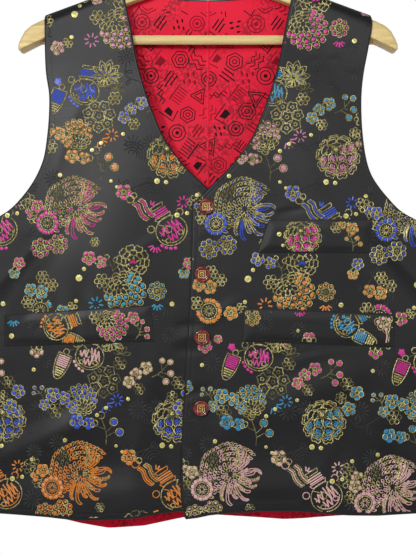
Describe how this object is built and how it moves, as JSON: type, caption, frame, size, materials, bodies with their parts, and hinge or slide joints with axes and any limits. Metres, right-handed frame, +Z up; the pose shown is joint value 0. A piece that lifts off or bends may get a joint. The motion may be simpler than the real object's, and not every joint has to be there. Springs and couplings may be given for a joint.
{
  "type": "waistcoat on a wooden hanger",
  "caption": "sleeveless buttoned waistcoat with a V neck, welt pockets and a square hem, hanging flat on a wooden hanger with a trouser bar",
  "frame": {"origin": "the inner top of the hanger's hook, where a rail holds it up", "axes": "+Z is up and runs along the garment's length; -Y is the front; +X is the wearer's left, on the right of someone who looks at the front"},
  "size_m": [0.524, 0.0451, 0.6804],
  "materials": {
    "brocade": "black satin brocade with gold and coloured motifs",
    "back_satin": "plain black satin",
    "lining": "crimson damask lining with a black print",
    "button": "glossy dark red with a gold inlay",
    "hanger_wood": "pale lacquered beech",
    "hook_steel": "plated steel wire"
  },
  "bodies": {
    "root": {"right_front": "brocade", "left_front": "brocade", "chest_welt": "brocade", "left_pocket_welt": "brocade", "right_pocket_welt": "brocade", "back": "back_satin", "back_lining": "lining", "button_1": "button", "button_2": "button", "button_3": "button", "button_4": "button", "hanger_arms": "hanger_wood", "trouser_bar": "hanger_wood", "hook": "hook_steel"}
  },
  "joints": []
}
